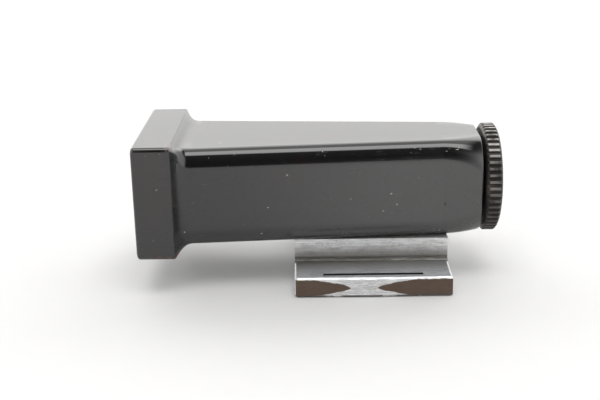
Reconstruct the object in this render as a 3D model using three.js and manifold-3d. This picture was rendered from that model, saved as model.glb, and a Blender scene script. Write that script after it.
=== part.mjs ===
// A slip-on direct-vision finder: a tapered black housing with a rectangular front window, a round
// screw-focusing eyepiece with a knurled ring, and a metal foot that slides into an accessory shoe.
//
// Units are millimetres. The origin is the centre of the foot's underside. +Z is up, +X runs along
// the optical axis towards the eye, and the finder looks towards -X.

import * as THREE from "three";
import { mergeVertices } from "three/addons/utils/BufferGeometryUtils.js";
import Module from "manifold-3d";

const wasm = await Module();
wasm.setup();

// ---------------------------------------------------------------- driving dimensions

const clearance = 0.05; // between pieces that are screwed or slipped together
const seatGap = 0.03; // between faces that rest on each other
const overshoot = 1; // how far a cutter reaches past what it cuts
const skim = 0.01; // the same, where the cutter's slope must stay in place

// The foot and its neck, milled from one bar.
const footLength = 15.2;
const footWidth = 18.3;
const footThickness = 2.0;
const footChamfer = 0.18;
const footLeadIn = 0.4; // rounding of the front corners, which enter the shoe first
const railBow = 0.06; // how far each sprung side bows out
const railThickness = 0.75; // metal left outside each saw cut
const railSlotLength = 9.6;
const railSlotWidth = 0.4;
const neckWidth = 9.2;
const neckHeight = 2.33;
const neckFillet = 0.35;
const neckRoot = 0.5; // how far the neck's bar runs down into the foot

// The housing, from the front face to the flat rear face.
const bodyLength = 33.65;
const tailOverhang = 3.22; // rear face of the housing behind the foot's rear end
const bodyFrontWidth = 13.3;
const bodyRearWidth = 9.6;
const bodyHeight = 9.75;
const bodyEdge = 1.5; // width of the long edges' rounding
const bodyEdgeRise = 1.33; // its height over its width
const wall = 0.9;
const hollowCorner = 0.3; // rounding of the hollow's long edges and of the openings' corners
const tailLength = 3.9; // where the long edges round off towards the eyepiece
const tailEdge = 3.2;
const tailEase = 1.6; // above 1, the edges round off late along the tail

// The head that frames the front window.
const headDepth = 3.68;
const headBlend = 1.85; // the sloping S-shaped fillet behind the head
const blendStart = 0.04; // share of the fillet in which it turns off the head
const blendPower = 3; // above 1, the fillet runs out slowly along the barrel
const headFrontEdge = 0.35; // rounding around the front face
const headEdge = 0.45;
const headRim = 0.8;
const lensSeat = 0.45;
const bezelLandSide = 1.0; // beside the glass, where the screws go
const bezelLandTop = 0.4;

// The front window.
const bezelSetback = 0.2;
const bezelThickness = 0.6;
const bezelLip = 0.55; // how far the bezel laps the glass
const bezelFlare = 0.3; // how much wider the opening is at the front
const glassThickness = 1.2;
const glassHollow = 0.5; // depth of the concave inner face
const glassRim = 0.2; // flat border above and below the concave face
const glassCorner = 0.25; // rounding of the corners of the glass and of the plates
const gasketThickness = 0.16;
const bezelScrewRadius = 0.3;
const bezelScrewHeadRadius = 0.48;
const bezelScrewHeadLand = 0.08; // thickness of the head's rim
const bezelScrewSlot = 0.12; // width of the slot, and its depth from the bezel's face
const bezelScrewLength = 1.5;

// Light baffles and the bright-frame glass inside.
const plateThickness = 0.25;
const frontBaffleShare = 0.22; // places along the hollow, 0 at the lens seat and 1 at its rear wall
const rearBaffleShare = 0.5;
const frameGlassShare = 0.68;
const frameGlassThickness = 0.7;
const frameHolderThickness = 0.6;
const baffleBorder = 0.9;
const baffleCorner = 0.2;
const holderBorder = 0.6;

// Foot fastening.
const footScrewInset = 3.3; // from the foot's front end to the front screw
const footScrewRadius = 0.7;
const footScrewHeadRadius = 1.35;
const footScrewHeadHeight = 0.75;
const footScrewHeadLand = 0.1;
const footScrewSlot = 0.3; // width and depth
const footScrewSunk = 0.08;
const nutPlateThickness = 0.8;
const nutPlateWidth = 4.6;
const nutPlateEnd = 1.3; // past each screw

// The eyepiece.
const tubeRadius = 3.3;
const tubeWall = 0.5;
const bushingWall = 0.5;
const bushingFlangeWidth = 0.25; // past the bush
const bushingFlangeThickness = 0.3;
const rearWallLength = 3.1;
const ringRadius = 5.43;
const ringWidth = 1.6;
const ringGap = 0.33; // between the housing's rear face and the ring
const ringLip = 0.42;
const ringBevelWidth = 0.3; // along the axis
const ringBevelDepth = 0.45; // towards the axis, past the knurl's roots
const ringRim = 0.48; // flat rim around the dished rear face
const dishDepth = 0.22;
const eyeHoleFlare = 0.15;
const eyeHoleLand = 0.05; // straight part of the eye hole's edge
const knurlCount = 52;
const knurlDepth = 0.2;
const toothFoot = 0.12; // shares of a tooth's pitch where its flank starts and ends
const toothTip = 0.38;
const eyeLensEdge = 0.6;
const eyeLensFrontBulge = 0.45;
const eyeLensRearBulge = 0.2;
const pocketWall = 0.28; // tube wall around the eye lens
const retainerThickness = 0.4;
const retainerWidth = 0.55;
const retainerSlot = 0.4;
const stopRingWidth = 0.5;
const stopRingWall = 0.45;
const travelOut = 1.125; // one and a half turns of a 0.75 mm thread
const travelIn = 0.125; // a sixth of a turn
const setScrewRadius = 0.4;
const setScrewSlot = 0.14;
const setScrewSlotDepth = 0.2;
const setScrewSunk = 0.12; // below the face around it
const setScrewSeatDepth = 0.25; // in the bush
const ringScrewShare = 0.38; // place along the ring's width

// ---------------------------------------------------------------- derived places

const axisZ = footThickness + neckHeight + bodyHeight / 2;
const rearX = footLength / 2 + tailOverhang;
const frontX = rearX - bodyLength;
const headRearX = frontX + headDepth;
const bodyStartX = headRearX + headBlend;
const tailStartX = rearX - tailLength;

const hollowFrontHalf = { y: bodyFrontWidth / 2 - wall, z: bodyHeight / 2 - wall };
const glassHalf = { y: hollowFrontHalf.y + lensSeat, z: hollowFrontHalf.z + lensSeat };
const bezelHalf = { y: glassHalf.y + bezelLandSide, z: glassHalf.z + bezelLandTop };
const headHalf = { y: bezelHalf.y + headRim, z: bezelHalf.z + headRim };

const bezelX = frontX + bezelSetback;
const glassX = bezelX + bezelThickness + seatGap;
const gasketX = glassX + glassThickness + seatGap;
const seatX = gasketX + gasketThickness + seatGap;
const hollowEndX = rearX - rearWallLength;

const bushingRadius = tubeRadius + clearance + bushingWall;
const bushingFlangeRadius = bushingRadius + bushingFlangeWidth;
const flangeX = rearX - bushingFlangeThickness;
const ringX = rearX + ringGap;
const ringRearX = ringX + ringWidth;
const tubeRearX = ringRearX - ringLip - seatGap;
const retainerX = tubeRearX - retainerThickness - seatGap;
const eyeLensX = retainerX - seatGap - eyeLensEdge;
const stopRingX = hollowEndX - travelOut - clearance - stopRingWidth;
const eyeLensRadius = tubeRadius - pocketWall - clearance;
const eyeHoleRadius = eyeLensRadius - retainerWidth;
const dishRadius = ringRadius - ringBevelDepth - ringRim;
const stopRingRadius = tubeRadius + stopRingWall / 2;
const nutPlateRearX = stopRingX - travelIn - 2 * clearance;
const bushingScrewX = rearX - rearWallLength / 2;
const ringScrewX = ringX + ringWidth * ringScrewShare;
const footScrewPlaces = [footScrewInset - footLength / 2, nutPlateRearX - nutPlateEnd];

// ---------------------------------------------------------------- solids

// A closed geometry as a solid whose faces point outwards.
function solid(geometry) {
  const plain = geometry.clone();
  plain.deleteAttribute("normal");
  plain.deleteAttribute("uv");
  const merged = mergeVertices(plain, 1e-4);
  const triVerts = new Uint32Array(merged.index.array);
  const vertProperties = new Float32Array(merged.attributes.position.array);
  const made = new wasm.Manifold(new wasm.Mesh({ numProp: 3, vertProperties, triVerts }));
  if (made.volume() > 0) return made;
  return new wasm.Manifold(
    new wasm.Mesh({ numProp: 3, vertProperties, triVerts: triVerts.slice().reverse() }),
  );
}

// A block from its lowest and highest corners.
function block(low, high) {
  const size = high.map((v, i) => v - low[i]);
  const centre = high.map((v, i) => (v + low[i]) / 2);
  return solid(new THREE.BoxGeometry(...size).translate(...centre));
}

// A turned piece on the optical axis: profile points are [x, radius], and the profile either
// starts and ends on the axis or closes on itself.
function turned(profile, segments = 48) {
  const points = profile.map(([x, radius]) => new THREE.Vector2(radius, x));
  return solid(new THREE.LatheGeometry(points, segments).rotateZ(-Math.PI / 2)).translate([
    0, 0, axisZ,
  ]);
}

// A plain ring or tube on the optical axis.
function tube(x0, x1, inner, outer, segments = 48) {
  return turned(
    [[x0, inner], [x1, inner], [x1, outer], [x0, outer], [x0, inner]],
    segments,
  );
}

// A plain rod on the optical axis.
function rod(x0, x1, radius, segments = 48) {
  return turned([[x0, 0], [x0, radius], [x1, radius], [x1, 0]], segments);
}

// The points of a rectangle with rounded corners, seen along X, at one place on X. The corners are
// rise times as high as they are wide.
function section(x, halfY, halfZ, radius, steps = 6, rise = 1) {
  const points = [];
  for (let corner = 0; corner < 4; corner++) {
    const cy = (corner === 0 || corner === 3 ? 1 : -1) * (halfY - radius);
    const cz = (corner < 2 ? 1 : -1) * (halfZ - radius * rise);
    for (let i = 0; i <= steps; i++) {
      const angle = ((corner + i / steps) * Math.PI) / 2;
      const y = cy + radius * Math.cos(angle);
      points.push([x, y, axisZ + cz + radius * rise * Math.sin(angle)]);
    }
  }
  return points;
}

// A solid skinned over sections that follow each other along X.
function loft(sections) {
  const count = sections[0].length;
  const index = [];
  for (let s = 0; s + 1 < sections.length; s++) {
    for (let i = 0; i < count; i++) {
      const a = s * count + i;
      const b = s * count + ((i + 1) % count);
      index.push(a, b, a + count, b, b + count, a + count);
    }
  }
  const last = (sections.length - 1) * count;
  for (let i = 1; i + 1 < count; i++) {
    index.push(0, i + 1, i, last, last + i, last + i + 1);
  }
  const geometry = new THREE.BufferGeometry();
  const positions = new Float32Array(sections.flat(2));
  geometry.setAttribute("position", new THREE.BufferAttribute(positions, 3));
  geometry.setIndex(index);
  return solid(geometry);
}

// A slice of a rectangular bar that lies along the optical axis.
function bar(x0, x1, half, radius, steps = 3) {
  return loft([x0, x1].map((x) => section(x, half.y, half.z, radius, steps)));
}

const mix = (a, b, share) => a + (b - a) * share;

// ---------------------------------------------------------------- the housing

// Half the housing's width between the head and the tail.
function bodyHalfWidth(x) {
  const share = (x - bodyStartX) / (tailStartX - bodyStartX);
  return mix(bodyFrontWidth, bodyRearWidth, Math.min(1, Math.max(0, share))) / 2;
}

// The hollow's half size: the housing's less its wall.
function hollowHalf(x) {
  return { y: bodyHalfWidth(x) - wall, z: bodyHeight / 2 - wall };
}

function bodySections() {
  const sections = [];
  const edgeSteps = 3;
  const cornerSteps = 6;
  for (let i = 0; i <= edgeSteps; i++) {
    const angle = ((i / edgeSteps) * Math.PI) / 2;
    const inset = headFrontEdge * (1 - Math.sin(angle));
    const x = frontX + headFrontEdge * (1 - Math.cos(angle));
    sections.push(section(x, headHalf.y - inset, headHalf.z - inset, headEdge, cornerSteps));
  }
  const blendSteps = 10;
  for (let i = 0; i <= blendSteps; i++) {
    const share = i / blendSteps;
    const along = (share ** 2 * (1 + blendStart)) / (share + blendStart);
    const rest = (1 - along) ** blendPower;
    const x = headRearX + share * headBlend;
    sections.push(
      section(
        x,
        mix(bodyFrontWidth / 2, headHalf.y, rest),
        mix(bodyHeight / 2, headHalf.z, rest),
        mix(bodyEdge, headEdge, rest),
        cornerSteps,
        mix(bodyEdgeRise, 1, rest),
      ),
    );
  }
  const tailSteps = 7;
  for (let i = 0; i <= tailSteps; i++) {
    const share = i / tailSteps;
    sections.push(
      section(
        tailStartX + share * tailLength,
        mix(bodyRearWidth / 2, bodyHeight / 2, share),
        bodyHeight / 2,
        mix(bodyEdge, tailEdge, share ** tailEase),
        cornerSteps,
        mix(bodyEdgeRise, 1, share),
      ),
    );
  }
  return sections;
}

// A screw hole through the foot and the housing's floor.
function footScrewHole(x, z0, z1) {
  const hole = new THREE.CylinderGeometry(
    footScrewRadius + clearance,
    footScrewRadius + clearance,
    z1 - z0,
    20,
  ).rotateX(Math.PI / 2);
  return solid(hole.translate(x, 0, (z0 + z1) / 2));
}

const bezelScrewPlaces = [-1, 1].map((side) => side * (glassHalf.y + bezelLandSide / 2));

function bodyShell() {
  const grow = (half) => ({ y: half.y + clearance, z: half.z + clearance });
  const hollow = loft(
    [seatX - clearance, bodyStartX, tailStartX, hollowEndX].map((x) => {
      const half = hollowHalf(x);
      return section(x, half.y, half.z, hollowCorner, 3);
    }),
  );
  let shell = loft(bodySections())
    .subtract(bar(frontX - overshoot, glassX, grow(bezelHalf), hollowCorner))
    .subtract(bar(frontX - overshoot, seatX, grow(glassHalf), hollowCorner))
    .subtract(hollow)
    .subtract(rod(nutPlateRearX, hollowEndX, stopRingRadius + clearance))
    .subtract(rod(hollowEndX - clearance, rearX + overshoot, bushingRadius + clearance))
    .subtract(rod(flangeX - seatGap, rearX + overshoot, bushingFlangeRadius + clearance));
  for (const y of bezelScrewPlaces) {
    const depth = bezelScrewLength + 2 * clearance;
    shell = shell.subtract(
      rod(bezelX, bezelX + depth, bezelScrewRadius + clearance, 12).translate([0, y, 0]),
    );
  }
  for (const x of footScrewPlaces) {
    shell = shell.subtract(footScrewHole(x, footThickness, axisZ));
  }
  return shell.subtract(setScrewHole(bushingScrewX));
}

// ---------------------------------------------------------------- the front window

// A countersunk slotted screw on the X axis line, its head towards -X, its flat face at x.
function bezelScrew(y) {
  const x = bezelX + seatGap;
  const headHeight = bezelScrewHeadRadius - bezelScrewRadius + bezelScrewHeadLand;
  const slot = block(
    [x - overshoot, -overshoot, axisZ - bezelScrewSlot / 2],
    [x + bezelScrewSlot, overshoot, axisZ + bezelScrewSlot / 2],
  );
  return turned(
    [
      [x, 0],
      [x, bezelScrewHeadRadius],
      [x + bezelScrewHeadLand, bezelScrewHeadRadius],
      [x + headHeight, bezelScrewRadius],
      [x + bezelScrewLength, bezelScrewRadius],
      [x + bezelScrewLength, 0],
    ],
    16,
  )
    .subtract(slot)
    .translate([0, y, 0]);
}

function frontBezel() {
  const opening = { y: glassHalf.y - bezelLip, z: glassHalf.z - bezelLip };
  const mouth = { y: opening.y + bezelFlare, z: opening.z + bezelFlare };
  const endX = bezelX + bezelThickness;
  let bezel = bar(bezelX, endX, bezelHalf, glassCorner).subtract(
    loft([
      section(bezelX - skim, mouth.y, mouth.z, hollowCorner, 3),
      section(endX + skim, opening.y, opening.z, hollowCorner, 3),
    ]),
  );
  for (const y of bezelScrewPlaces) {
    const head = bezelScrewHeadRadius + clearance;
    const shank = bezelScrewRadius + clearance;
    const rim = bezelX + seatGap + bezelScrewHeadLand + skim;
    const sink = turned(
      [
        [bezelX - overshoot, 0],
        [bezelX - overshoot, head],
        [rim, head],
        [rim + head - shank, shank],
        [bezelX + overshoot, shank],
        [bezelX + overshoot, 0],
      ],
      16,
    );
    bezel = bezel.subtract(sink.translate([0, y, 0]));
  }
  return bezel;
}

// A plano-concave window: flat outside, hollowed inside.
function frontLens() {
  const rimRadius = Math.min(glassHalf.z, glassHalf.y) - glassRim;
  const curve = (rimRadius ** 2 + glassHollow ** 2) / (2 * glassHollow);
  const endX = glassX + glassThickness;
  const steps = 8;
  const profile = [[endX + overshoot, 0]];
  profile.push([endX + overshoot, rimRadius]);
  for (let i = 0; i <= steps; i++) {
    const radius = rimRadius * (1 - i / steps);
    const depth = Math.sqrt(curve ** 2 - radius ** 2) - (curve - glassHollow);
    profile.push([endX - depth, radius]);
  }
  return bar(glassX, endX, glassHalf, glassCorner).subtract(turned(profile, 32));
}

function lensGasket() {
  return bar(gasketX, gasketX + gasketThickness, glassHalf, glassCorner).subtract(
    bar(gasketX - overshoot, gasketX + overshoot, hollowFrontHalf, hollowCorner),
  );
}

// ---------------------------------------------------------------- inside the hollow

const hollowPlace = (share) => mix(seatX, hollowEndX, share);

// A plate that wedges in the tapering hollow, with an opening of the given border, if any.
function hollowPlate(x, thickness, border) {
  const half = hollowHalf(x + thickness);
  const outer = { y: half.y - clearance, z: half.z - clearance };
  const plate = bar(x, x + thickness, outer, glassCorner);
  if (!border) return plate;
  const inner = { y: outer.y - border, z: outer.z - border };
  return plate.subtract(bar(x - overshoot, x + thickness + overshoot, inner, baffleCorner));
}

const frameGlassX = hollowPlace(frameGlassShare);

// The foot screws' threaded strip, on the floor of the hollow.
function nutPlate() {
  const z0 = axisZ - bodyHeight / 2 + wall + seatGap;
  let plate = block(
    [footScrewPlaces[0] - nutPlateEnd, -nutPlateWidth / 2, z0],
    [nutPlateRearX, nutPlateWidth / 2, z0 + nutPlateThickness],
  );
  for (const x of footScrewPlaces) plate = plate.subtract(footScrewHole(x, 0, axisZ));
  return plate;
}

// A plate in the hollow that is notched to clear the nut plate below it.
function notched(plate, x0, x1) {
  const top = axisZ - bodyHeight / 2 + wall + seatGap + nutPlateThickness + clearance;
  const halfWidth = nutPlateWidth / 2 + clearance;
  return plate.subtract(
    block([x0 - overshoot, -halfWidth, 0], [x1 + overshoot, halfWidth, top]),
  );
}

// ---------------------------------------------------------------- the foot

// The foot's outline from above: its front corners are rounded, and its long sides bow out along
// the saw cuts.
function footOutline() {
  const half = { x: footLength / 2, y: footWidth / 2 };
  const bow = railSlotLength / 2;
  const outline = new THREE.Shape();
  outline.moveTo(-half.x, half.y - footLeadIn);
  outline.lineTo(-half.x, -half.y + footLeadIn);
  outline.quadraticCurveTo(-half.x, -half.y, -half.x + footLeadIn, -half.y);
  outline.lineTo(-bow, -half.y);
  outline.quadraticCurveTo(0, -half.y - 2 * railBow, bow, -half.y);
  outline.lineTo(half.x, -half.y);
  outline.lineTo(half.x, half.y);
  outline.lineTo(bow, half.y);
  outline.quadraticCurveTo(0, half.y + 2 * railBow, -bow, half.y);
  outline.lineTo(-half.x + footLeadIn, half.y);
  outline.quadraticCurveTo(-half.x, half.y, -half.x, half.y - footLeadIn);
  return outline;
}

function footPlate() {
  let plate = solid(
    new THREE.ExtrudeGeometry(footOutline(), {
      depth: footThickness - 2 * footChamfer,
      bevelThickness: footChamfer,
      bevelSize: footChamfer,
      bevelOffset: -footChamfer,
      bevelSegments: 1,
      curveSegments: 10,
    }).translate(0, 0, footChamfer),
  );
  const slotOuter = footWidth / 2 - railThickness;
  for (const side of [-1, 1]) {
    const edges = [side * slotOuter, side * (slotOuter - railSlotWidth)].sort((a, b) => a - b);
    plate = plate.subtract(
      block(
        [-railSlotLength / 2, edges[0], -overshoot],
        [railSlotLength / 2, edges[1], footThickness + overshoot],
      ),
    );
  }
  return plate;
}

// The neck's end outline, with small fillets where it meets the foot.
function neckBar() {
  const half = neckWidth / 2;
  const top = neckHeight - seatGap;
  const outline = new THREE.Shape();
  outline.moveTo(-half - neckFillet, 0);
  outline.absarc(-half - neckFillet, neckFillet, neckFillet, -Math.PI / 2, 0, false);
  outline.lineTo(-half, top);
  outline.lineTo(half, top);
  outline.absarc(half + neckFillet, neckFillet, neckFillet, Math.PI, Math.PI * 1.5, false);
  outline.lineTo(half + neckFillet, -neckRoot);
  outline.lineTo(-half - neckFillet, -neckRoot);
  const bar = new THREE.ExtrudeGeometry(outline, {
    depth: footLength,
    bevelEnabled: false,
    curveSegments: 4,
  });
  // The outline's x and y become Y and Z, and its depth becomes X.
  bar.rotateX(Math.PI / 2).rotateZ(Math.PI / 2);
  return solid(bar.translate(-footLength / 2, 0, footThickness));
}

function footBlock() {
  let foot = footPlate().add(neckBar());
  for (const x of footScrewPlaces) {
    const head = footScrewHeadRadius + clearance;
    const sink = new THREE.CylinderGeometry(
      footScrewRadius + clearance,
      head,
      footScrewHeadHeight,
      24,
    ).rotateX(Math.PI / 2);
    const mouth = new THREE.CylinderGeometry(head, head, overshoot, 24).rotateX(Math.PI / 2);
    const rim = footScrewSunk + clearance;
    foot = foot
      .subtract(footScrewHole(x, -overshoot, axisZ))
      .subtract(solid(sink.translate(x, 0, rim + footScrewHeadHeight / 2)))
      .subtract(solid(mouth.translate(x, 0, rim + skim - overshoot / 2)));
  }
  return foot;
}

// A countersunk slotted screw, head down, standing on Z.
function footScrew(x) {
  const length = neckHeight + footThickness + wall + nutPlateThickness - footScrewSunk;
  const points = [
    [0, 0],
    [footScrewHeadRadius, 0],
    [footScrewHeadRadius, footScrewHeadLand],
    [footScrewRadius, footScrewHeadHeight],
    [footScrewRadius, length],
    [0, length],
  ].map(([radius, z]) => new THREE.Vector2(radius, z));
  const turnedScrew = solid(new THREE.LatheGeometry(points, 24).rotateX(Math.PI / 2));
  const half = footScrewSlot / 2;
  const reach = footScrewHeadRadius + overshoot;
  const slot = block([-reach, -half, -overshoot], [reach, half, footScrewSlot]);
  return turnedScrew.subtract(slot).translate([x, 0, footScrewSunk]);
}

// ---------------------------------------------------------------- the eyepiece

// A radial hole for a set screw, on the underside of the optical axis.
function setScrewHole(x) {
  const hole = new THREE.CylinderGeometry(
    setScrewRadius + clearance,
    setScrewRadius + clearance,
    axisZ - tubeRadius,
    14,
  ).rotateX(Math.PI / 2);
  return solid(hole.translate(x, 0, (axisZ - tubeRadius) / 2 - clearance));
}

// A slotted headless screw on the underside, between two distances from the optical axis.
function setScrew(x, inner, outer) {
  const pin = new THREE.CylinderGeometry(setScrewRadius, setScrewRadius, outer - inner, 14)
    .rotateX(Math.PI / 2)
    .translate(x, 0, axisZ - (inner + outer) / 2);
  const bottom = axisZ - outer;
  const half = setScrewSlot / 2;
  const slot = block(
    [x - overshoot, -half, bottom - overshoot],
    [x + overshoot, half, bottom + setScrewSlotDepth],
  );
  return solid(pin).subtract(slot);
}

function eyepieceBushing() {
  const bore = tubeRadius + clearance;
  const bushing = turned([
    [hollowEndX, bore],
    [rearX, bore],
    [rearX, bushingFlangeRadius],
    [flangeX, bushingFlangeRadius],
    [flangeX, bushingRadius],
    [hollowEndX, bushingRadius],
    [hollowEndX, bore],
  ]);
  return bushing.subtract(setScrewSeat(bushingScrewX, bushingRadius, setScrewSeatDepth));
}

// A shallow seat for a set screw's point, in the underside of a round piece.
function setScrewSeat(x, radius, depth) {
  const seat = new THREE.CylinderGeometry(
    setScrewRadius + clearance,
    setScrewRadius + clearance,
    overshoot,
    14,
  ).rotateX(Math.PI / 2);
  return solid(seat.translate(x, 0, axisZ - radius + depth - overshoot / 2));
}

function eyepieceTube() {
  const bore = tubeRadius - tubeWall;
  const pocket = eyeLensRadius + clearance;
  const shoulder = eyeLensX - seatGap;
  const spigot = tubeRadius - stopRingWall / 2;
  const spigotEnd = stopRingX + stopRingWidth + seatGap;
  const turnedTube = turned([
    [stopRingX - seatGap, bore],
    [shoulder, bore],
    [shoulder, pocket],
    [tubeRearX, pocket],
    [tubeRearX, tubeRadius],
    [spigotEnd, tubeRadius],
    [spigotEnd, spigot],
    [stopRingX - seatGap, spigot],
    [stopRingX - seatGap, bore],
  ]);
  return turnedTube.subtract(setScrewSeat(ringScrewX, tubeRadius, pocketWall / 2));
}

// A double-convex lens with a flat rim for the retainer to press on.
function eyeLens() {
  const steps = 6;
  const curveRadius = eyeLensRadius - retainerWidth;
  const rearX = eyeLensX + eyeLensEdge;
  const shares = Array.from({ length: steps + 1 }, (_, i) => i / steps);
  const front = shares.map((s) => [eyeLensX - eyeLensFrontBulge * (1 - s ** 2), s * curveRadius]);
  const rear = shares.map((s) => [rearX + eyeLensRearBulge * (1 - s ** 2), s * curveRadius]);
  const rim = [[eyeLensX, eyeLensRadius], [rearX, eyeLensRadius]];
  return turned([...front, ...rim, ...rear.reverse()], 36);
}

function eyeLensRetainer() {
  const inner = eyeLensRadius - retainerWidth;
  const ring = tube(retainerX, retainerX + retainerThickness, inner, eyeLensRadius);
  const half = retainerSlot / 2;
  const depth = retainerThickness / 2;
  return ring.subtract(
    block(
      [retainerX + depth, -tubeRadius, axisZ - half],
      [retainerX + overshoot, tubeRadius, axisZ + half],
    ),
  );
}

function stopRing() {
  const inner = tubeRadius - stopRingWall / 2 + clearance;
  return tube(stopRingX, stopRingX + stopRingWidth, inner, stopRingRadius, 36);
}


function focusRing() {
  const outline = new THREE.Shape();
  for (let i = 0; i < knurlCount; i++) {
    // The teeth straddle the set screw's hole at the bottom.
    for (const [share, radius] of [
      [toothFoot, ringRadius - knurlDepth],
      [toothTip, ringRadius],
      [1 - toothTip, ringRadius],
      [1 - toothFoot, ringRadius - knurlDepth],
    ]) {
      const angle = ((i + share) / knurlCount) * 2 * Math.PI;
      const point = [radius * Math.cos(angle), radius * Math.sin(angle)];
      if (i === 0 && share === toothFoot) outline.moveTo(...point);
      else outline.lineTo(...point);
    }
  }
  outline.closePath();
  const blank = new THREE.ExtrudeGeometry(outline, {
    depth: ringWidth,
    bevelEnabled: false,
  }).rotateY(Math.PI / 2);
  const chamfered = turned(
    [
      [ringX, 0],
      [ringX, ringRadius - ringBevelDepth],
      [ringX + ringBevelWidth, ringRadius + skim],
      [ringRearX - ringBevelWidth, ringRadius + skim],
      [ringRearX, ringRadius - ringBevelDepth],
      [ringRearX - dishDepth, dishRadius - dishDepth],
      [ringRearX - dishDepth, 0],
    ],
    knurlCount,
  );
  const bore = rod(ringX - overshoot, ringRearX - ringLip, tubeRadius + clearance);
  const eyeHole = turned(
    [
      [ringX, 0],
      [ringX, eyeHoleRadius],
      [ringRearX - ringLip + eyeHoleLand, eyeHoleRadius],
      [ringRearX - dishDepth + skim, eyeHoleRadius + eyeHoleFlare],
      [ringRearX - dishDepth + skim, 0],
    ],
    36,
  );
  return solid(blank)
    .translate([ringX, 0, axisZ])
    .intersect(chamfered)
    .subtract(bore)
    .subtract(eyeHole)
    .subtract(setScrewHole(ringScrewX));
}

// ---------------------------------------------------------------- materials

function finish(color, roughness, metalness, extra = {}) {
  return new THREE.MeshStandardMaterial({ color, roughness, metalness, ...extra });
}

const blackLacquer = finish(0x17171a, 0.12, 0.3);
const blackAnodised = finish(0x1d1b1c, 0.45, 0.5);
const mattBlack = finish(0x0d0d0e, 0.9, 0.0);
const satinSteel = finish(0x9a9c9d, 0.4, 1.0);
const screwSteel = finish(0x76777a, 0.35, 1.0);
const brass = finish(0xb08d4a, 0.35, 1.0);
const card = finish(0x1b1a19, 0.95, 0.0);
const windowGlass = finish(0xa8b4c0, 0.02, 0.0, { transparent: true, opacity: 0.4 });

// ---------------------------------------------------------------- assembly

const group = new THREE.Group();

function piece(name, shape, material) {
  const made = shape.getMesh();
  const geometry = new THREE.BufferGeometry();
  geometry.setAttribute("position", new THREE.BufferAttribute(made.vertProperties, 3));
  geometry.setIndex(new THREE.BufferAttribute(made.triVerts, 1));
  const mesh = new THREE.Mesh(geometry, material);
  mesh.name = name;
  group.add(mesh);
}

piece("body_shell", bodyShell(), blackLacquer);
piece("front_bezel", frontBezel(), blackAnodised);
["left", "right"].forEach((side, i) => {
  piece(`bezel_screw_${side}`, bezelScrew(bezelScrewPlaces[i]), screwSteel);
});
piece("front_lens", frontLens(), windowGlass);
piece("lens_gasket", lensGasket(), card);

const frontBaffleX = hollowPlace(frontBaffleShare);
piece("front_baffle", hollowPlate(frontBaffleX, plateThickness, baffleBorder), mattBlack);
const rearBaffleX = hollowPlace(rearBaffleShare);
piece(
  "rear_baffle",
  notched(hollowPlate(rearBaffleX, plateThickness, baffleBorder), rearBaffleX, rearBaffleX),
  mattBlack,
);
const frameGlassEnd = frameGlassX + frameGlassThickness;
piece(
  "frame_glass",
  notched(hollowPlate(frameGlassX, frameGlassThickness), frameGlassX, frameGlassEnd),
  windowGlass,
);
const holderX = frameGlassX - seatGap - frameHolderThickness;
piece(
  "frame_glass_holder",
  notched(hollowPlate(holderX, frameHolderThickness, holderBorder), holderX, frameGlassX),
  mattBlack,
);
piece("nut_plate", nutPlate(), brass);

piece("foot_block", footBlock(), satinSteel);
["front", "rear"].forEach((end, i) => {
  piece(`foot_screw_${end}`, footScrew(footScrewPlaces[i]), screwSteel);
});

piece("eyepiece_bushing", eyepieceBushing(), brass);
piece(
  "bushing_set_screw",
  setScrew(
    bushingScrewX,
    bushingRadius - setScrewSeatDepth + seatGap,
    bodyHeight / 2 - setScrewSunk,
  ),
  screwSteel,
);
piece("eyepiece_tube", eyepieceTube(), brass);
piece("tube_stop_ring", stopRing(), brass);
piece("eye_lens", eyeLens(), windowGlass);
piece("eye_lens_retainer", eyeLensRetainer(), blackAnodised);
piece("focus_ring", focusRing(), blackAnodised);
piece(
  "ring_set_screw",
  setScrew(
    ringScrewX,
    tubeRadius - pocketWall / 2 + seatGap,
    ringRadius - knurlDepth - setScrewSunk,
  ),
  screwSteel,
);

export default group;
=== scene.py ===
import math

import bmesh
import bpy
from mathutils import Matrix, Vector


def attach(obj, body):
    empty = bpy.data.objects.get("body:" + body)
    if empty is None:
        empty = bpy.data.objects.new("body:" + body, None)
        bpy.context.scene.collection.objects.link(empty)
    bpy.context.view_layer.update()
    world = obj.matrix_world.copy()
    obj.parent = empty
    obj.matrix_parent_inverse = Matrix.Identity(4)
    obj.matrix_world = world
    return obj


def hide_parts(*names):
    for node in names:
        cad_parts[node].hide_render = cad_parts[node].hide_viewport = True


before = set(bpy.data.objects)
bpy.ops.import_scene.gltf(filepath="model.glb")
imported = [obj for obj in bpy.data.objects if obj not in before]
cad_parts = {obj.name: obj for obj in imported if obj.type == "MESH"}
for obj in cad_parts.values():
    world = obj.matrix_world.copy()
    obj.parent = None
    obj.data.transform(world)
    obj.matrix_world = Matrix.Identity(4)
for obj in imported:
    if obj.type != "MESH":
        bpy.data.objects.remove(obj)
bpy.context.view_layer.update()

# ------------------------------------------------------------------ the table and the light
# The finder stands on a pale paper sweep. A wide soft box hangs over it and a little behind, and a pale
# wall stands at the back. The near side of the room is dark, which gives the lacquer its black edge,
# and two soft lamps that polished faces don't mirror fill the shadows.


def operation(name, swapped=False):
    """A method that adds one Math node to the tree. A swapped one takes its terms in reverse."""

    def method(self, *others):
        terms = (*others, self) if swapped else (self, *others)
        return self.recipe.put("ShaderNodeMath", dict(enumerate(terms)), operation=name)

    return method


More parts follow.
